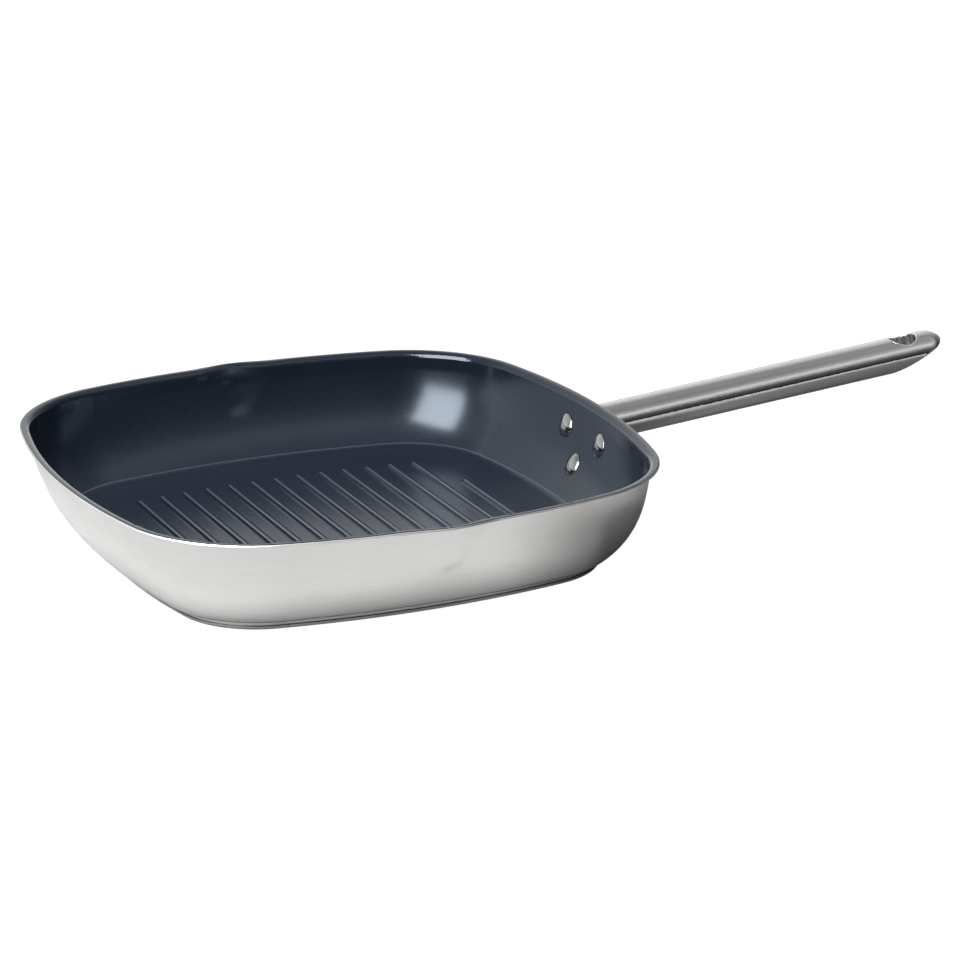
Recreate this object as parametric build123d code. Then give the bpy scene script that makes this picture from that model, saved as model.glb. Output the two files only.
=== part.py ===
from build123d import *
from collections import namedtuple
from math import asin, atan2, cos, exp, hypot, pi, radians, sin, sqrt, tan
import os

# Square grill pan with pressed ribs, two pouring spouts and a riveted tube handle.
# Millimetres. The origin is on the table under the middle of the base, +Z is up,
# and the handle runs along +X. The ribs and the line through the spouts run along Y.

# Rim and height
rim_size = 280.0
rim_side_radius = 356.0
rim_corner_radius = 68.0
pan_height = 50.0

# Sheet thicknesses
steel_wall = 0.9
coat_wall = 0.25

# Wall: outer steel face at its foot and at the throat under the lip
foot_height = 4.2
foot_size = 228.2
foot_side_radius = 396.0
foot_corner_radius = 44.4
foot_bend_radius = 8.0
foot_bend_steps = 2
wall_flare = 2.19
corner_ease = 1.3
throat_overhang = 4.3
throat_drop = 4.0
crest_radius = 3.2
lip_edge_radius = 1.0

# Pouring spouts in the middle of the two sides that the ribs point at
spout_depth = 2.5
spout_half_width = 24.0

# Wall rows from foot to throat and on to the lip, each a share of the wall's height,
# of the spout's depth and of its half width
wall_row_shares = (
    (0.0, 0.0, 0.33),
    (0.089, 0.0, 0.33),
    (0.142, 0.0, 0.33),
    (0.2, 0.0, 0.33),
    (0.264, 0.0, 0.33),
    (0.334, 0.0, 0.33),
    (0.41, 0.0, 0.33),
    (0.492, 0.0, 0.33),
    (0.58, 0.46, 0.38),
    (0.673, 0.6, 0.52),
    (0.772, 0.71, 0.63),
    (0.876, 0.8, 0.74),
    (0.985, 0.9, 0.86),
    (1.099, 1.01, 0.96),
    (1.218, 1.05, 1.0),
)
spout_steps = 8

# Grill ribs
rib_count = 15
rib_pitch = 12.2
rib_width = 3.2
rib_height = 1.3
rib_flank_taper = 35.0
rib_crown_radius = 0.8
rib_half_length = 81.5
rib_field_bow_radius = 530.0
last_rib_half_length = 40.0
core_key_width = 1.6
core_key_height = 0.7

# Bonded base
cap_size = 222.0
cap_side_radius = 386.0
cap_corner_radius = 41.0
cap_height = 3.6
cap_floor = 0.8
cap_rim_wall = 0.8
cap_edge_radius = 1.2
cap_groove_level = 1.9
cap_groove_height = 0.3
cap_groove_depth = 0.35
seam_depth = 2.5

# Handle tube: an oval, rising from the wall
handle_width = 22.0
handle_thickness = 17.5
handle_wall = 1.2
handle_rise_angle = 4.84
handle_start_reach = 143.5
handle_start_height = 39.8
nose_reach = 325.6
hang_reach = 313.4

# Handle tip: cut on the slant below and closed by a plate
tip_cut_angle = 22.0
tip_cut_lead = 12.5
tip_edge_radius = 1.0
cut_block_length = 96.0
end_plate_thickness = 1.2
sleeve_bore_radius = 7.0
sleeve_wall = 0.8
sleeve_edge_radius = 0.35

# Bracket behind the wall
bracket_thickness = 2.0
bracket_pad_radius = 9.0
neck_root_width = 21.0
neck_root_thickness = 14.0
neck_root_height = 36.0
neck_stub_length = 4.0
spigot_length = 24.0
spigot_edge_radius = 1.0

# Rivets
rivet_spacing = 37.0
upper_rivet_height = 34.3
lower_rivet_height = 19.9
rivet_head_radius = 5.8
rivet_head_height = 2.2
rivet_head_edge = 0.5
rivet_tail_radius = 4.4
rivet_tail_height = 1.7
rivet_shank_radius = 2.5

# Overrun of cutting shapes past what they cut
overrun = 2.0

# Sizes worked out from the ones above
rim_half = rim_size / 2
foot_half = foot_size / 2
throat_half = rim_half - throat_overhang
throat_height = pan_height - throat_drop
throat_side_radius = rim_side_radius - throat_overhang
throat_corner_radius = rim_corner_radius - throat_overhang
floor_height = foot_height + steel_wall
coated_floor_height = floor_height + coat_wall
steel_lip_height = pan_height - coat_wall
lining = steel_wall + coat_wall
wall_rise = throat_height - foot_height
handle_half_width = handle_width / 2
handle_half_thickness = handle_thickness / 2
sleeve_radius = sleeve_bore_radius + sleeve_wall


def mix(start, end, share):
    return start + (end - start) * share


# Outlines and wall rows

def side_reach(x, half, side_radius):
    return half - side_radius + sqrt(side_radius**2 - x**2)


def corner_start(half, side_radius, corner_radius):
    """Centre of the corner arc, and where it meets the side arc."""
    side_centre = side_radius - half
    gap = side_radius - corner_radius
    centre = (sqrt(2 * gap**2 - side_centre**2) - side_centre) / 2
    turn = atan2(centre, centre + side_centre)
    far = side_radius * cos(turn) - side_centre
    return centre, far, side_radius * sin(turn)


def spout_edge(sign, half, side_radius, height, depth, half_width):
    """Swell of the spout, a plain arc where it has no depth."""
    spots = []
    for step in range(spout_steps + 1):
        share = 1 - 2 * step / spout_steps
        x = half_width * share
        y = side_reach(x, half, side_radius) + depth * (1 + cos(pi * share)) / 2
        spots.append((sign * x, sign * y, height))
    slope = half_width / sqrt(side_radius**2 - half_width**2)
    return Spline(*spots, tangents=[(-sign, sign * slope, 0), (-sign, -sign * slope, 0)])


def side_with_spout(sign, half, side_radius, far, near, height, depth, half_width):
    """Side that carries a spout: an arc, the spout's swell and an arc."""
    swell = spout_edge(sign, half, side_radius, height, depth, half_width)
    middle = (near + half_width) / 2
    middle_reach = side_reach(middle, half, side_radius)
    first = ThreePointArc((sign * near, sign * far, height),
                          (sign * middle, sign * middle_reach, height), swell @ 0)
    last = ThreePointArc(swell @ 1, (-sign * middle, sign * middle_reach, height),
                         (-sign * near, sign * far, height))
    return [first, swell, last]


def outline(half, side_radius, corner_radius, height, depth=0, half_width=spout_half_width):
    """Square with bowed sides, round corners and a swell in both Y sides."""
    centre, far, near = corner_start(half, side_radius, corner_radius)
    diagonal = centre + corner_radius / sqrt(2)
    edges = []
    for sign in (1, -1):
        corners = [(sign * far, -sign * near, height), (sign * far, sign * near, height),
                   (sign * near, sign * far, height), (-sign * near, sign * far, height),
                   (-sign * far, sign * near, height)]
        edges.append(ThreePointArc(corners[0], (sign * half, 0, height), corners[1]))
        edges.append(ThreePointArc(corners[1], (sign * diagonal, sign * diagonal, height), corners[2]))
        edges += side_with_spout(sign, half, side_radius, far, near, height, depth, half_width)
        edges.append(ThreePointArc(corners[3], (-sign * diagonal, sign * diagonal, height), corners[4]))
    return Wire(edges)


def rim_outline(growth, height):
    return outline(rim_half + growth, rim_side_radius + growth, rim_corner_radius + growth,
                   height, spout_depth)


Row = namedtuple("Row", "height half side_radius corner_radius swell spread lean")


def grown(row, growth, rise, lean):
    """Row moved outwards by growth and upwards by rise, its radii moving with it."""
    return Row(row.height + rise, row.half + growth, row.side_radius + growth,
               row.corner_radius + growth, row.swell, row.spread, lean)


def outer_row(rise, swell, spread):
    """Row of the outer steel face at a share of the wall's height, which flares less and less."""
    span = throat_half - foot_half
    whole = 1 - exp(-wall_flare)
    steepness = wall_flare * exp(-wall_flare * rise) / whole
    return Row(
        height=foot_height + wall_rise * rise,
        half=foot_half + span * (1 - exp(-wall_flare * rise)) / whole,
        side_radius=mix(foot_side_radius, throat_side_radius, rise),
        corner_radius=mix(foot_corner_radius, throat_corner_radius, 1 - (1 - min(rise, 1))**corner_ease),
        swell=spout_depth * swell,
        spread=spout_half_width * spread,
        lean=atan2(wall_rise, span * steepness))


def foot_bend_rows(foot):
    """Rows round the bend from the flat floor into the wall."""
    tangent = foot_bend_radius * tan(foot.lean / 2)
    rows = []
    for step in range(foot_bend_steps + 1):
        turn = foot.lean * step / foot_bend_steps
        rows.append(grown(foot, foot_bend_radius * sin(turn) - tangent,
                          foot_bend_radius * (1 - cos(turn)), turn))
    return rows


def wall_rows(depth=0):
    """Rows of the face that lies depth under the outer steel face."""
    outer = [outer_row(*shares) for shares in wall_row_shares]
    rows = foot_bend_rows(outer[0]) + outer[1:]
    return [grown(row, -depth * sin(row.lean), depth * cos(row.lean), row.lean) for row in rows]


def row_at(height, depth=0):
    rows = wall_rows(depth)
    for low, high in zip(rows, rows[1:]):
        if height <= high.height:
            break
    share = (height - low.height) / (high.height - low.height)
    return Row(*[mix(start, end, share) for start, end in zip(low, high)])


def wall_block(depth, top):
    """Solid inside the face that lies depth under the outer steel face."""
    rows = [row for row in wall_rows(depth) if top - row.height > overrun] + [row_at(top, depth)]
    wires = [outline(row.half, row.side_radius, row.corner_radius, row.height, row.swell, row.spread)
             for row in rows]
    return Solid.make_loft(wires)


def brimmed_block(depth, brim_height, brim_thickness, brim_growth, neck_radius):
    """Wall block with a flat brim at its top, joined by a rounded neck."""
    block = wall_block(depth, brim_height + brim_thickness)
    brim = extrude(Face(rim_outline(brim_growth, brim_height)), amount=brim_thickness)
    joined = block + brim
    under = [face for face in joined.faces() if face.inner_wires()]
    neck = under[0].inner_wires()[0].edges()
    return fillet(neck, neck_radius)


# Ribs

def rib_lines():
    """Place along X and half length of each rib, the two outermost being short."""
    lines = []
    for index in range(rib_count):
        x = rib_pitch * (index - rib_count // 2)
        lines.append((x, rib_half_length - x**2 / (2 * rib_field_bow_radius)))
    for last in (0, -1):
        lines[last] = (lines[last][0], last_rib_half_length)
    return lines


def ribs(depth, floor, crown_radius=0):
    """Ribs whose faces lie depth under the coated ribs, standing on a floor."""
    narrowing = depth * tan(radians(90 - rib_flank_taper) / 2)
    width = rib_width - 2 * narrowing
    solids = []
    for x, half_length in rib_lines():
        foot = Pos(x, 0, floor) * SlotOverall(2 * (half_length - narrowing), width, rotation=90)
        rib = extrude(foot, amount=rib_height, taper=rib_flank_taper)
        if crown_radius:
            rib = fillet(rib.faces().sort_by(Axis.Z)[-1].edges(), crown_radius)
        footing = extrude(foot, amount=-coat_wall / 2)
        solids.append(rib + footing)
    return solids


def core_keys(floor, sink):
    """Low keys of the core that fill the hollows pressed up under the ribs."""
    keys = []
    for x, half_length in rib_lines():
        length = 2 * half_length - rib_width
        foot = Pos(x, 0, floor - sink) * SlotOverall(length, core_key_width, rotation=90)
        keys.append(extrude(foot, amount=core_key_height + sink))
    return keys


# Pan

def cavity(depth, lip_height):
    """Inside of the pan, open upwards past its lip."""
    neck = crest_radius - lining + depth
    return brimmed_block(depth, lip_height, overrun, overrun, neck)


def rim_block():
    """Everything inside the rim, with the lip's outer edge rounded."""
    block = extrude(Face(rim_outline(0, 0)), amount=pan_height)
    return fillet(block.faces().sort_by(Axis.Z)[-1].edges(), lip_edge_radius)


def steel_outside():
    """The pan's outer form, as if it were solid."""
    neck = crest_radius - lining
    return brimmed_block(0, steel_lip_height - steel_wall, steel_wall, 0, neck) & rim_block()


def make_pan_shell(outside, steel_cavity):
    shell = outside - steel_cavity
    shell = shell + ribs(coat_wall, floor_height)
    return shell - core_keys(foot_height, overrun)


def make_coating(steel_cavity, coated_cavity):
    coat = (steel_cavity & rim_block()) - coated_cavity
    coat = coat + ribs(0, coated_floor_height, rib_crown_radius)
    return coat - ribs(coat_wall, floor_height)


# Base

def base_block(inset, bottom, top):
    wire = outline(cap_size / 2 - inset, cap_side_radius - inset, cap_corner_radius - inset, bottom)
    return extrude(Face(wire), amount=top - bottom)


def make_base_core():
    core = base_block(cap_rim_wall, cap_floor, cap_height)
    neck = base_block(cap_rim_wall + seam_depth, cap_floor, foot_height)
    return core + neck + core_keys(foot_height, coat_wall)


def make_base_cap():
    cap = base_block(0, 0, cap_height)
    cap = fillet(cap.faces().sort_by(Axis.Z)[0].edges(), cap_edge_radius)
    groove_top = cap_groove_level + cap_groove_height
    groove = base_block(-overrun, cap_groove_level, groove_top)
    groove = groove - base_block(cap_groove_depth, cap_groove_level - overrun, groove_top + overrun)
    return cap - groove - base_block(cap_rim_wall, cap_floor, cap_height + overrun)


# Handle

handle_tilt = radians(handle_rise_angle)
handle_direction = Vector(cos(handle_tilt), 0, sin(handle_tilt))
handle_up = Vector(-sin(handle_tilt), 0, cos(handle_tilt))
handle_start = Vector(handle_start_reach, 0, handle_start_height)
handle_run = (nose_reach - handle_start_reach) / cos(handle_tilt)
nose_centre = handle_start + handle_direction * handle_run
hang_centre = nose_centre + handle_direction * ((hang_reach - nose_reach) / cos(handle_tilt))


def cross_plane(distance):
    """Plane across the handle, its first axis along +Y and its second up."""
    return Plane(handle_start + handle_direction * distance, x_dir=(0, 1, 0), z_dir=handle_direction)


def hang_plane():
    """Plane through the hanging hole's centre, square to the hole."""
    return Plane(hang_centre, x_dir=handle_direction, z_dir=handle_up)


def handle_form(inset):
    """Straight oval bar whose nose is the same oval turned about an upright axis."""
    wide = handle_half_width - inset
    tall = handle_half_thickness - inset
    bar = extrude(cross_plane(0) * Ellipse(wide, tall), amount=handle_run)
    side = Plane(nose_centre, x_dir=handle_direction, z_dir=(0, -1, 0))
    half_oval = side * (Ellipse(wide, tall) & Pos(wide / 2, 0) * Rectangle(wide, 2 * tall))
    nose = revolve(half_oval, axis=Axis(nose_centre, handle_up))
    return bar + nose


def below_tip_cut(lift):
    """Everything under the slanted cut, raised square to the cut by lift."""
    cut_start = hang_plane().location * Pos(-tip_cut_lead, 0, -handle_half_thickness)
    slant = cut_start * Rot(0, -tip_cut_angle, 0) * Pos(0, 0, lift)
    block = Box(cut_block_length, 2 * handle_width, handle_width,
                align=(Align.CENTER, Align.CENTER, Align.MAX))
    return slant * block


def cut_face_edges(solid):
    slant_up = (hang_plane().location * Rot(0, -tip_cut_angle, 0) * Pos(0, 0, 1)).position
    normal = slant_up - hang_centre
    faces = [face for face in solid.faces() if face.geom_type == GeomType.PLANE]
    face = min(faces, key=lambda item: item.normal_at().dot(normal))
    return face.outer_wire().edges()


def handle_outside():
    form = handle_form(0) - below_tip_cut(0)
    return fillet(cut_face_edges(form), tip_edge_radius)


def sleeve_hole(radius):
    return hang_plane() * Cylinder(radius, 2 * handle_thickness)


def make_handle_tube(outside):
    hollow = handle_form(handle_wall)
    return outside - hollow - sleeve_hole(sleeve_radius)


def make_end_plate():
    slab = below_tip_cut(end_plate_thickness) - below_tip_cut(0)
    return (handle_form(handle_wall) & slab) - sleeve_hole(sleeve_radius)


def make_hanging_sleeve(outside):
    sleeve = (outside & sleeve_hole(sleeve_radius)) - sleeve_hole(sleeve_bore_radius)
    mouth = [edge for edge in sleeve.edges().filter_by(GeomType.LINE, reverse=True)
             if abs(hypot(*mouth_offset(edge)) - sleeve_bore_radius) < sleeve_edge_radius / 4]
    return fillet(mouth, sleeve_edge_radius)


def mouth_offset(edge):
    spot = hang_plane().to_local_coords(edge @ 0)
    return spot.X, spot.Y


# Bracket

def bracket_outline():
    """Rounded triangle through the three rivets, seen along the handle."""
    half = rivet_spacing / 2
    corners = Polygon((-half, upper_rivet_height), (half, upper_rivet_height),
                      (0, lower_rivet_height), align=None)
    return Plane.YZ * offset(corners, bracket_pad_radius)


def make_bracket_neck():
    root_reach = row_at(neck_root_height).half
    root = Plane((root_reach, 0, neck_root_height), x_dir=(0, 1, 0), z_dir=(1, 0, 0))
    root_section = root * Ellipse(neck_root_width / 2, neck_root_thickness / 2)
    end_section = cross_plane(0) * Ellipse(handle_half_width, handle_half_thickness)
    neck = loft([root_section.face(), end_section.face()])
    stub = extrude(root_section, amount=-neck_stub_length)
    spigot = extrude(cross_plane(0) * Ellipse(handle_half_width - handle_wall,
                                              handle_half_thickness - handle_wall),
                     amount=spigot_length)
    spigot = chamfer(spigot.faces().sort_by(Axis.X)[-1].edges(), spigot_edge_radius)
    return neck + stub + spigot


def make_bracket(outside, bracket_outside, shanks):
    prism = extrude(bracket_outline(), amount=rim_size, dir=(1, 0, 0))
    pad = prism & bracket_outside
    bracket = pad + make_bracket_neck()
    return bracket - outside - shanks


# Rivets

def rivet_plane(y, height):
    """Plane on the coated wall, its normal pointing into the pan."""
    row = row_at(height)
    turn = asin(y / row.side_radius)
    reach = side_reach(y, row.half, row.side_radius) - lining / sin(row.lean)
    inward = (-sin(row.lean) * cos(turn), -sin(row.lean) * sin(turn), cos(row.lean))
    return Plane((reach, y, height), x_dir=(0, 1, 0), z_dir=inward)


def dome(radius, height, edge):
    """Low dome on a short cylinder, from the plane upwards."""
    crown = height - edge
    ball_radius = (radius**2 + crown**2) / (2 * crown)
    ball = Pos(0, 0, height - ball_radius) * Sphere(ball_radius)
    column = Cylinder(radius, height, align=(Align.CENTER, Align.CENTER, Align.MIN))
    return ball & column


def rivet_shank(place):
    reach = lining + bracket_thickness + rivet_tail_height / 2
    shank = Pos(0, 0, rivet_head_edge) * Cylinder(
        rivet_shank_radius, reach + rivet_head_edge, align=(Align.CENTER, Align.CENTER, Align.MAX))
    return place * shank


def make_rivet(place, coated_cavity, bracket_outside):
    sunk_edge = rivet_head_edge + overrun
    head = Pos(0, 0, -overrun) * dome(rivet_head_radius, rivet_head_height + overrun, sunk_edge)
    head = (place * head) & coated_cavity
    tail_edge = rivet_head_edge + overrun
    tail = dome(rivet_tail_radius, rivet_tail_height + overrun, tail_edge)
    tail = Pos(0, 0, overrun - lining - bracket_thickness) * Rot(180, 0, 0) * tail
    tail = (place * tail) - bracket_outside
    return head + rivet_shank(place) + tail


rivet_places = {
    "rivet_upper_left": rivet_plane(rivet_spacing / 2, upper_rivet_height),
    "rivet_upper_right": rivet_plane(-rivet_spacing / 2, upper_rivet_height),
    "rivet_lower": rivet_plane(0, lower_rivet_height),
}


def main():
    steel_cavity = cavity(steel_wall, steel_lip_height)
    coated_cavity = cavity(lining, pan_height)
    pan_outside = steel_outside()
    bracket_outside = wall_block(-bracket_thickness, throat_height)
    shanks = [rivet_shank(place) for place in rivet_places.values()]
    tube_outside = handle_outside()
    nodes = {
        "pan_shell": make_pan_shell(pan_outside, steel_cavity) - shanks,
        "nonstick_coating": make_coating(steel_cavity, coated_cavity) - shanks,
        "base_core": make_base_core(),
        "base_cap": make_base_cap(),
        "handle_tube": make_handle_tube(tube_outside),
        "handle_end_plate": make_end_plate(),
        "hanging_sleeve": make_hanging_sleeve(tube_outside),
        "handle_bracket": make_bracket(pan_outside, bracket_outside, shanks),
    }
    for name, place in rivet_places.items():
        nodes[name] = make_rivet(place, coated_cavity, bracket_outside)
    os.makedirs("parts", exist_ok=True)
    for name, solid in nodes.items():
        export_step(solid, "parts/" + name + ".step")


main()
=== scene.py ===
from math import cos, pi, radians, sin

import bpy
from mathutils import Matrix, Vector

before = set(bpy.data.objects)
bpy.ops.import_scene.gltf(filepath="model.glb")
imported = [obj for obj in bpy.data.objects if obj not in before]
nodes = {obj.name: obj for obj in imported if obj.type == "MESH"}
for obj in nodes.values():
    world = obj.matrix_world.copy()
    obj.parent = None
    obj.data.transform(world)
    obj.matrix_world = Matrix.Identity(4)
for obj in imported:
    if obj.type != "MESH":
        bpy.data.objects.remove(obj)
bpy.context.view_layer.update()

scene = bpy.context.scene

# Camera, from the rim, base and handle in the photograph
PHOTO_SIDE_PX = 960
SENSOR_WIDTH_MM = 36.0
CAMERA_AZIMUTH = -24.474
CAMERA_ELEVATION = 18.235
CAMERA_ROLL = -0.156
CAMERA_DISTANCE = 1.7655
CAMERA_FOCAL_PX = 3657.2
CAMERA_TARGET = Vector((0.06868, -0.01645, 0.0249))

# Studio
FLOOR_HALF_SIZE = 6.0
FLOOR_COLOUR = (0.37, 0.37, 0.37)
FLOOR_GLOW = 1.0
FLOOR_GLOW_IN_REFLECTIONS = 0.2
SOFTBOX_AZIMUTH = -64.5
SOFTBOX_ELEVATION = 33.5
SOFTBOX_DISTANCE = 1.6
SOFTBOX_SIZE = (1.36, 1.46)
SOFTBOX_RADIANCE = 16.5
STUDIO_TARGET = Vector((0.05, 0.0, 0.03))
TOP_LIGHT_AZIMUTH = -45.0
TOP_LIGHT_ELEVATION = 68.0
TOP_LIGHT_SPREAD = radians(40)
TOP_LIGHT_STRENGTH = 4.3
WORLD_STRENGTH = 1.12

# Radiance of the studio's back and front halves, by sine of elevation
BACK_LEVELS = ((-0.1, 1.0), (0.1, 1.15), (0.3, 0.95), (0.5, 0.82), (0.8, 0.4), (1.0, 0.3))
FRONT_LEVELS = ((-0.02, 0.0), (0.07, 0.01), (0.2, 0.07), (0.42, 0.12), (0.6, 0.4),
                (0.72, 0.85), (0.8, 1.0), (0.87, 0.6), (0.95, 0.35), (1.0, 0.3))

# The studio's front half turns into its back half, by how far a direction leans towards +Y
FRONT_TO_BACK = (-0.1, 0.4)

# The studio's right side, by how far its direction leans towards +X
SIDE_FADE = (0.45, 0.75)
SIDE_LEVEL = 0.3

# Painted shade on the floor: share of the floor's colour and reflected glow, by distance in
# metres towards the back right
FLOOR_FADE_X = 0.6
FLOOR_FADE_Y = 0.8
FLOOR_SHADE_LEVELS = ((-0.10, 1.0), (0.005, 0.97), (0.095, 0.38), (0.2, 0.22), (0.45, 0.08),
                (1.5, 0.06))

# Painted shadow on the floor beside the pan, under the start of the handle, in metres
FLOOR_SHADOW_STRETCH = (1.3, 1.0, 1.0)
FLOOR_SHADOW_PLACE = (0.135, -0.085, 0.0)
FLOOR_SHADOW_REACH = (0.05, 0.13)
FLOOR_SHADOW_LEVEL = 0.12

HANDLE_RISE = radians(4.84)

# Colour input and output sockets of a colour mix node
MIX_FIRST = 6
MIX_SECOND = 7
MIX_RESULT = 2

# Place at which a curve's further stops are made, before each gets its own
NEW_STOP_PLACE = 0.5

# Rounding of edges in the shading, radius in metres
EDGE_RADIUS = 2.5e-4
EDGE_SAMPLES = 6

# Part of a noise's range that is spread over a full change of colour or roughness
NOISE_SPREAD = (0.3, 0.7)

# Noises of the steels as scale per metre, detail and, where given, roughness
GRAIN_NOISE = (1.0, 3.0, 0.6)
CLOUD_NOISE = (22.0, 4.0, 0.55)
SPECK_NOISE = (900.0, 2.0)

# Shares of grain and clouding in a steel's tone, and of clouding and specks in its dulling
GRAIN_IN_TONE = 0.55
CLOUD_IN_TONE = 0.45
CLOUD_IN_DULLING = 0.6
SPECK_IN_DULLING = 0.4

# Dark lines: heights in metres at which each starts, is full, begins to fade and has ended
# Painted shade round the foot of the shell, full up to 5.4 mm and gone by 6.3 mm
FOOT_PAINTED_SHADE = (0.0, 0.0, 0.0054, 0.0063)
CAP_LINE = (0.0016, 0.0018, 0.0022, 0.0024)
LINE_SHARE = 0.85
LINE_COLOUR = (0.02, 0.02, 0.02)

# Least height over which a dark line sets in, in metres
LINE_ONSET = 1e-6

# Steels, with grain scales per metre and grain depths in metres
# The shell's dark line is the painted shade round its foot
SHELL_STEEL = dict(dark=(0.68, 0.68, 0.67), light=(0.78, 0.78, 0.77),
                   rough_low=0.27, rough_high=0.34, grain_scale=(45, 45, 2600),
                   anisotropy=0.35, dark_line=FOOT_PAINTED_SHADE)
CORE_ALUMINIUM = dict(dark=(0.20, 0.20, 0.205), light=(0.30, 0.30, 0.305),
                      rough_low=0.45, rough_high=0.6, grain_scale=(300, 300, 300),
                      grain_depth=1e-5)
CAP_STEEL = dict(dark=(0.46, 0.46, 0.45), light=(0.56, 0.56, 0.55),
                 rough_low=0.25, rough_high=0.36, grain_scale=(40, 1800, 40),
                 dark_line=CAP_LINE)
HANDLE_STEEL = dict(dark=(0.48, 0.48, 0.475), light=(0.55, 0.55, 0.545),
                    rough_low=0.035, rough_high=0.07, grain_scale=(14, 2200, 2200),
                    tilt=HANDLE_RISE, grain_depth=2e-6)
RIVET_STEEL = dict(dark=(0.31, 0.31, 0.315), light=(0.38, 0.38, 0.385),
                   rough_low=0.07, rough_high=0.13, grain_scale=(500, 500, 500),
                   grain_depth=1e-6)
SLEEVE_STEEL = dict(dark=(0.82, 0.82, 0.82), light=(0.90, 0.90, 0.90),
                    rough_low=0.10, rough_high=0.15, grain_scale=(500, 500, 500),
                    grain_depth=1e-6, smudge=0.02)

# Coating: colours and shine
COAT_SPECULAR = 0.42
COAT_TINT = (0.76, 0.87, 1.0)
COAT_DARK = (0.0080, 0.0120, 0.0200)
COAT_LIGHT = (0.0135, 0.0185, 0.0285)
COAT_ROUGHNESS = (0.17, 0.27)

# Coating: noises as for the steels, their shares, and the depth of the relief in metres
COAT_FINE_NOISE = (2300.0, 3.0, 0.6)
COAT_COARSE_NOISE = (600.0, 2.0)
COAT_CLOUD_NOISE = (18.0, 3.0)
FINE_IN_TONE = 0.7
COAT_CLOUD_IN_TONE = 0.3
COAT_TONE_SPREAD = (0.35, 0.65)
COARSE_IN_RELIEF = 0.6
COAT_RELIEF = 9.0e-6

# Light flecks in the coating, by distance from the middle of a cell
FLECK_SCALE = 520.0
FLECK_EDGE = (0.10, 0.24)
FLECK_SHARE = 0.12
FLECK_COLOUR = (0.075, 0.088, 0.105)

# Heights between which the coating on the rib tops carries a painted highlight, in metres
RIB_HIGHLIGHT_RISE = (0.00640, 0.00658)
RIB_HIGHLIGHT_FADE = (0.00668, 0.00690)
RIB_HIGHLIGHT_COLOUR = (0.050, 0.060, 0.078)

# Painted shade in the hollow corners at the ribs' feet
RIB_FOOT_SHADE_SHARE = 0.12
RIB_FOOT_SHADE_COLOUR = (0.0020, 0.0030, 0.0050)

# The ribs as the part has them, in metres
RIB_PITCH = 0.0122
RIB_FIELD_HALF_WIDTH = 0.088
RIB_HALF_LENGTH = 0.0815
RIB_FIELD_BOW_RADIUS = 0.530
RIB_FOOT = 0.0016
LAST_RIB_PLACE = 0.0794
LAST_RIB_SHORTENING = 0.0346

# Hollow corner where the coating runs from the floor up each rib, in metres
FILLET_REACH = 0.0012
FILLET_RISE = 3.6e-4

# Heights between which the coating turns smoother towards the lip, in metres
LIP_SMOOTHING = (0.040, 0.0425)
LIP_ROUGHNESS_SHARE = 0.5


# Camera and studio

def direction(azimuth, elevation):
    """Unit vector at an azimuth from -Y towards +X and an elevation, both in degrees."""
    a, e = radians(azimuth), radians(elevation)
    return Vector((sin(a) * cos(e), -cos(a) * cos(e), sin(e)))


def add_camera():
    back = direction(CAMERA_AZIMUTH, CAMERA_ELEVATION)
    level = direction(CAMERA_AZIMUTH + 90, 0)
    upright = back.cross(level)
    roll = radians(CAMERA_ROLL)
    right = cos(roll) * level + sin(roll) * upright
    up = cos(roll) * upright - sin(roll) * level
    data = bpy.data.cameras.new("photo_camera")
    data.sensor_width = SENSOR_WIDTH_MM
    data.lens = CAMERA_FOCAL_PX / PHOTO_SIDE_PX * SENSOR_WIDTH_MM
    camera = bpy.data.objects.new("photo_camera", data)
    scene.collection.objects.link(camera)
    turn = Matrix((right, up, back)).transposed().to_4x4()
    camera.matrix_world = Matrix.Translation(CAMERA_TARGET + back * CAMERA_DISTANCE) @ turn
    scene.camera = camera


def aim_from(light, away):
    """Turn a light so that it shines against the direction away."""
    light.rotation_euler = (-away).to_track_quat("-Z", "Y").to_euler()


def add_softbox():
    """Large rectangular light that is seen in reflections only."""
    data = bpy.data.lights.new("softbox_front_left", "AREA")
    data.shape = "RECTANGLE"
    data.size, data.size_y = SOFTBOX_SIZE
    data.energy = pi * SOFTBOX_RADIANCE * SOFTBOX_SIZE[0] * SOFTBOX_SIZE[1]
    light = bpy.data.objects.new("softbox_front_left", data)
    scene.collection.objects.link(light)
    away = direction(SOFTBOX_AZIMUTH, SOFTBOX_ELEVATION)
    light.location = STUDIO_TARGET + away * SOFTBOX_DISTANCE
    aim_from(light, away)
    light.visible_diffuse = False


def add_top_light():
    """Wide overhead light that is seen in no reflection."""
    data = bpy.data.lights.new("top_light", "SUN")
    data.angle = TOP_LIGHT_SPREAD
    data.energy = TOP_LIGHT_STRENGTH
    light = bpy.data.objects.new("top_light", data)
    scene.collection.objects.link(light)
    aim_from(light, direction(TOP_LIGHT_AZIMUTH, TOP_LIGHT_ELEVATION))
    light.visible_glossy = False


# Node graphs

def opaque(colour):
    return (*colour, 1)


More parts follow.
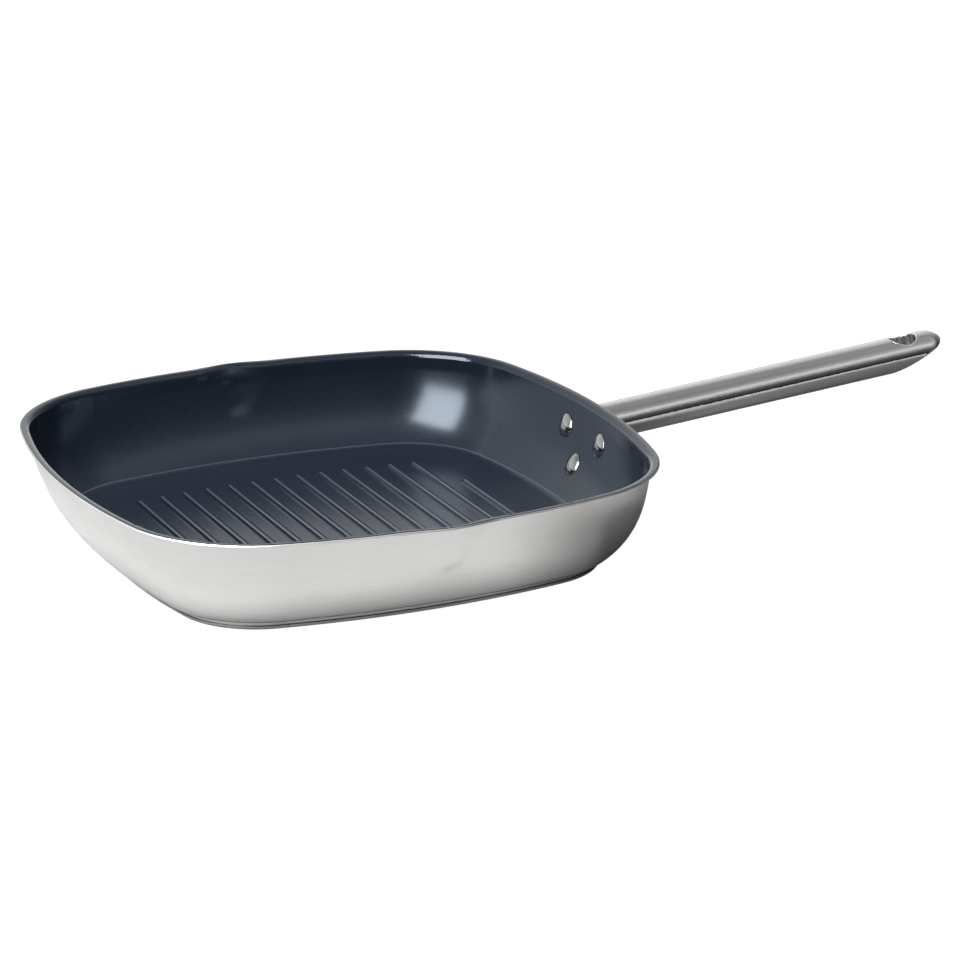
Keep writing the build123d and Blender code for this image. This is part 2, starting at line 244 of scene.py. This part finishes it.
class Graph:
    """Node tree under construction."""

    def __init__(self, tree):
        self.tree = tree

    def add(self, kind, **settings):
        node = self.tree.nodes.new(kind)
        for name, value in settings.items():
            setattr(node, name, value)
        return node

    def feed(self, socket, value):
        """Give a socket a constant or another node's output."""
        if isinstance(value, bpy.types.NodeSocket):
            self.tree.links.new(value, socket)
        else:
            socket.default_value = value

    def math(self, operation, first, second=0.0):
        node = self.add("ShaderNodeMath", operation=operation)
        self.feed(node.inputs[0], first)
        self.feed(node.inputs[1], second)
        return node.outputs[0]

    def weighted(self, first, first_share, second, second_share):
        """Sum of two values, each times its share."""
        return self.math("ADD", self.math("MULTIPLY", first, first_share),
                         self.math("MULTIPLY", second, second_share))

    def remap(self, value, low, high, out_low, out_high):
        node = self.add("ShaderNodeMapRange")
        for index, entry in enumerate((value, low, high, out_low, out_high)):
            self.feed(node.inputs[index], entry)
        return node.outputs[0]

    def blend(self, share, first, second):
        node = self.add("ShaderNodeMix", data_type="RGBA")
        self.feed(node.inputs[0], share)
        self.feed(node.inputs[MIX_FIRST], first)
        self.feed(node.inputs[MIX_SECOND], second)
        return node.outputs[MIX_RESULT]

    def levels(self, value, stops):
        """Grey curve through (place, level) stops, places and levels being any range."""
        low, high = stops[0][0], stops[-1][0]
        top = max(level for _, level in stops)
        ramp = self.add("ShaderNodeValToRGB")
        ramp.color_ramp.interpolation = "EASE"
        elements = ramp.color_ramp.elements
        while len(elements) < len(stops):
            elements.new(NEW_STOP_PLACE)
        for element, (place, level) in zip(elements, stops):
            element.position = (place - low) / (high - low)
            element.color = opaque([level / top] * 3)
        self.feed(ramp.inputs[0], self.remap(value, low, high, 0.0, 1.0))
        return self.math("MULTIPLY", ramp.outputs[0], top)

    def parts(self, vector):
        """X, Y and Z of a vector, as outputs by name."""
        node = self.add("ShaderNodeSeparateXYZ")
        self.feed(node.inputs[0], vector)
        return node.outputs

    def place(self, scale=(1, 1, 1), tilt=0.0):
        """Object coordinates in metres, turned about Y by tilt and then scaled."""
        source = self.add("ShaderNodeTexCoord").outputs["Object"]
        turned = self.add("ShaderNodeMapping", vector_type="POINT")
        self.feed(turned.inputs["Vector"], source)
        turned.inputs["Rotation"].default_value = (0, tilt, 0)
        scaled = self.add("ShaderNodeMapping", vector_type="POINT")
        self.feed(scaled.inputs["Vector"], turned.outputs[0])
        scaled.inputs["Scale"].default_value = scale
        return scaled.outputs[0]

    def noise(self, vector, scale, detail, roughness=0.5):
        node = self.add("ShaderNodeTexNoise")
        self.feed(node.inputs["Vector"], vector)
        node.inputs["Scale"].default_value = scale
        node.inputs["Detail"].default_value = detail
        node.inputs["Roughness"].default_value = roughness
        return node.outputs["Fac"]

    def flecks(self, vector, scale, low, high):
        """Small round spots, one where a cell's centre is near."""
        node = self.add("ShaderNodeTexVoronoi")
        self.feed(node.inputs["Vector"], vector)
        node.inputs["Scale"].default_value = scale
        return self.remap(node.outputs["Distance"], low, high, 1.0, 0.0)

    def bump(self, height, distance, normal):
        """The normal as a relief of this height, times a distance in metres, turns it."""
        node = self.add("ShaderNodeBump")
        node.inputs["Strength"].default_value = 1.0
        node.inputs["Distance"].default_value = distance
        self.feed(node.inputs["Height"], height)
        self.feed(node.inputs["Normal"], normal)
        return node.outputs[0]

    def soft_edges(self):
        node = self.add("ShaderNodeBevel", samples=EDGE_SAMPLES)
        node.inputs["Radius"].default_value = EDGE_RADIUS
        return node.outputs[0]


# Materials

def new_material(name, metallic, specular=0.5):
    material = bpy.data.materials.new(name)
    material.use_nodes = True
    shader = material.node_tree.nodes["Principled BSDF"]
    shader.inputs["Metallic"].default_value = metallic
    shader.inputs["Specular IOR Level"].default_value = specular
    return material, Graph(material.node_tree), shader


def finish_material(graph, shader, colour, roughness, normal):
    graph.feed(shader.inputs["Base Color"], colour)
    graph.feed(shader.inputs["Roughness"], roughness)
    graph.feed(shader.inputs["Normal"], normal)


def draw_line(graph, height, colour, start, full, ebb, end):
    """Darken a colour between two heights."""
    rising = graph.remap(height, start - LINE_ONSET, full, 0.0, LINE_SHARE)
    falling = graph.remap(height, ebb, end, 1.0, 0.0)
    return graph.blend(graph.math("MULTIPLY", rising, falling), colour, opaque(LINE_COLOUR))


def steel(name, dark, light, rough_low, rough_high, grain_scale, tilt=0.0, grain_depth=4e-6,
          anisotropy=0.0, smudge=0.03, dark_line=None):
    """Steel with a stretched grain, faint clouding and dulled patches."""
    material, graph, shader = new_material(name, 1.0)
    spot = graph.place()
    grain = graph.noise(graph.place(grain_scale, tilt), *GRAIN_NOISE)
    cloud = graph.noise(spot, *CLOUD_NOISE)
    speck = graph.noise(spot, *SPECK_NOISE)
    tone = graph.weighted(grain, GRAIN_IN_TONE, cloud, CLOUD_IN_TONE)
    colour = graph.blend(graph.remap(tone, *NOISE_SPREAD, 0.0, 1.0), opaque(dark), opaque(light))
    if dark_line:
        colour = draw_line(graph, graph.parts(spot)["Z"], colour, *dark_line)
    dull = graph.weighted(cloud, CLOUD_IN_DULLING, speck, SPECK_IN_DULLING)
    roughness = graph.remap(dull, *NOISE_SPREAD, rough_low, rough_high + smudge)
    normal = graph.bump(grain, grain_depth, graph.soft_edges())
    shader.inputs["Anisotropic"].default_value = anisotropy
    if anisotropy:
        tangent = graph.add("ShaderNodeTangent", direction_type="RADIAL", axis="Z")
        graph.feed(shader.inputs["Tangent"], tangent.outputs[0])
    finish_material(graph, shader, colour, roughness, normal)
    return material


def rib_fillet(graph, x, y):
    """Height of the hollow corner beside each rib, from 0 on the floor to 1 at the rib."""
    index = graph.math("ROUND", graph.math("DIVIDE", x, RIB_PITCH))
    nearest = graph.math("MULTIPLY", index, RIB_PITCH)
    aside = graph.math("ABSOLUTE", graph.math("SUBTRACT", x, nearest))
    corner = graph.remap(aside, RIB_FOOT, RIB_FOOT + FILLET_REACH, 1.0, 0.0)
    outward = graph.math("ABSOLUTE", x)
    bow = graph.math("DIVIDE", graph.math("MULTIPLY", x, x), 2 * RIB_FIELD_BOW_RADIUS)
    is_last = graph.math("GREATER_THAN", outward, LAST_RIB_PLACE)
    shortening = graph.math("MULTIPLY", is_last, LAST_RIB_SHORTENING)
    bowed = graph.math("ADD", graph.math("ABSOLUTE", y), bow)
    along = graph.math("ADD", bowed, shortening)
    within = graph.math("LESS_THAN", outward, RIB_FIELD_HALF_WIDTH)
    ending = graph.remap(along, RIB_HALF_LENGTH - RIB_FOOT, RIB_HALF_LENGTH + FILLET_REACH,
                         1.0, 0.0)
    return graph.math("MULTIPLY", corner, graph.math("MULTIPLY", within, ending))


def lining():
    """Dark blue-grey semi-gloss coating with a fine sparkling grain."""
    material, graph, shader = new_material("lining_coat", 0.0, COAT_SPECULAR)
    spot = graph.place()
    fine = graph.noise(spot, *COAT_FINE_NOISE)
    coarse = graph.noise(spot, *COAT_COARSE_NOISE)
    cloud = graph.noise(spot, *COAT_CLOUD_NOISE)
    flecks = graph.flecks(spot, FLECK_SCALE, *FLECK_EDGE)
    tone = graph.weighted(fine, FINE_IN_TONE, cloud, COAT_CLOUD_IN_TONE)
    base = graph.blend(graph.remap(tone, *COAT_TONE_SPREAD, 0.0, 1.0),
                       opaque(COAT_DARK), opaque(COAT_LIGHT))
    speckled = graph.blend(graph.math("MULTIPLY", flecks, FLECK_SHARE), base,
                           opaque(FLECK_COLOUR))
    parts = graph.parts(spot)
    height = parts["Z"]
    # Painted highlight: the coating is painted lighter along the rib tops
    crest_highlight = graph.math("MULTIPLY", graph.remap(height, *RIB_HIGHLIGHT_RISE, 0.0, 1.0),
                       graph.remap(height, *RIB_HIGHLIGHT_FADE, 1.0, 0.0))
    with_crest_highlight = graph.blend(crest_highlight, speckled, opaque(RIB_HIGHLIGHT_COLOUR))
    # Painted shade: the hollow corners beside the ribs are painted darker, fading out towards
    # the rib tops
    fillet = rib_fillet(graph, parts["X"], parts["Y"])
    foot_shade_share = graph.remap(height, *RIB_HIGHLIGHT_RISE, RIB_FOOT_SHADE_SHARE, 0.0)
    colour = graph.blend(graph.math("MULTIPLY", fillet, foot_shade_share), with_crest_highlight,
                         opaque(RIB_FOOT_SHADE_COLOUR))
    lip = graph.remap(height, *LIP_SMOOTHING, 0.0, 1.0)
    satin = graph.remap(fine, *NOISE_SPREAD, *COAT_ROUGHNESS)
    smoother = graph.math("MULTIPLY", satin, LIP_ROUGHNESS_SHARE)
    roughness = graph.remap(lip, 0.0, 1.0, satin, smoother)
    shader.inputs["Specular Tint"].default_value = opaque(COAT_TINT)
    relief = graph.math("ADD", fine, graph.math("MULTIPLY", coarse, COARSE_IN_RELIEF))
    hollow = graph.bump(fillet, FILLET_RISE, graph.soft_edges())
    normal = graph.bump(relief, COAT_RELIEF, hollow)
    finish_material(graph, shader, colour, roughness, normal)
    return material


def floor_material():
    """Matt floor that glows white to the camera and fades out in reflections, its colour and
    reflected glow carrying painted shade towards the back right and a painted shadow beside the
    pan.
    """
    material, graph, shader = new_material("studio_floor", 0.0, 0.0)
    shader.inputs["Roughness"].default_value = 1.0
    parts = graph.parts(graph.place())
    # Painted shade: the floor's colour and reflected glow fall off towards the back right
    fade = graph.weighted(parts["X"], FLOOR_FADE_X, parts["Y"], FLOOR_FADE_Y)
    # Painted shadow beside the pan, under the start of the handle
    away = graph.add("ShaderNodeVectorMath", operation="DISTANCE")
    graph.feed(away.inputs[0], graph.place(FLOOR_SHADOW_STRETCH))
    graph.feed(away.inputs[1], [a * b for a, b in zip(FLOOR_SHADOW_PLACE, FLOOR_SHADOW_STRETCH)])
    painted_shadow = graph.remap(away.outputs["Value"], *FLOOR_SHADOW_REACH, FLOOR_SHADOW_LEVEL, 1.0)
    level = graph.math("MULTIPLY", graph.levels(fade, FLOOR_SHADE_LEVELS), painted_shadow)
    shade = graph.blend(level, opaque((0, 0, 0)), opaque(FLOOR_COLOUR))
    graph.feed(shader.inputs["Base Color"], shade)
    shader.inputs["Emission Color"].default_value = opaque((1, 1, 1))
    seen = graph.add("ShaderNodeLightPath").outputs["Is Camera Ray"]
    dim = graph.math("MULTIPLY", level, FLOOR_GLOW_IN_REFLECTIONS)
    glow = graph.remap(seen, 0.0, 1.0, dim, FLOOR_GLOW)
    graph.feed(shader.inputs["Emission Strength"], glow)
    return material


def dress(material, *names):
    for name in names:
        slots = nodes[name].data.materials
        slots.clear()
        slots.append(material)


def dress_all():
    dress(steel("shell_satin_steel", **SHELL_STEEL), "pan_shell")
    dress(lining(), "nonstick_coating")
    dress(steel("core_raw_aluminium", **CORE_ALUMINIUM), "base_core")
    dress(steel("cap_turned_steel", **CAP_STEEL), "base_cap")
    dress(steel("handle_brushed_steel", **HANDLE_STEEL),
          "handle_tube", "handle_end_plate", "handle_bracket")
    dress(steel("polished_steel", **RIVET_STEEL),
          "rivet_upper_left", "rivet_upper_right", "rivet_lower")
    dress(steel("sleeve_bright_steel", **SLEEVE_STEEL), "hanging_sleeve")


# Stage

def add_floor():
    half = FLOOR_HALF_SIZE
    corners = [(-half, -half, 0), (half, -half, 0), (half, half, 0), (-half, half, 0)]
    mesh = bpy.data.meshes.new("studio_floor")
    mesh.from_pydata(corners, [], [range(len(corners))])
    floor = bpy.data.objects.new("studio_floor", mesh)
    scene.collection.objects.link(floor)
    mesh.materials.append(floor_material())


def add_world():
    world = bpy.data.worlds.new("studio")
    scene.world = world
    world.use_nodes = True
    graph = Graph(world.node_tree)
    split = graph.parts(graph.add("ShaderNodeTexCoord").outputs["Generated"])
    behind = graph.remap(split["Y"], *FRONT_TO_BACK, 0.0, 1.0)
    back = graph.levels(split["Z"], BACK_LEVELS)
    front = graph.levels(split["Z"], FRONT_LEVELS)
    side = graph.remap(split["X"], *SIDE_FADE, 1.0, SIDE_LEVEL)
    level = graph.math("MULTIPLY", graph.blend(behind, front, back), side)
    background = world.node_tree.nodes["Background"]
    graph.feed(background.inputs["Color"], level)
    background.inputs["Strength"].default_value = WORLD_STRENGTH


dress_all()
add_floor()
add_world()
add_softbox()
add_top_light()
scene.view_settings.view_transform = "Standard"
add_camera()
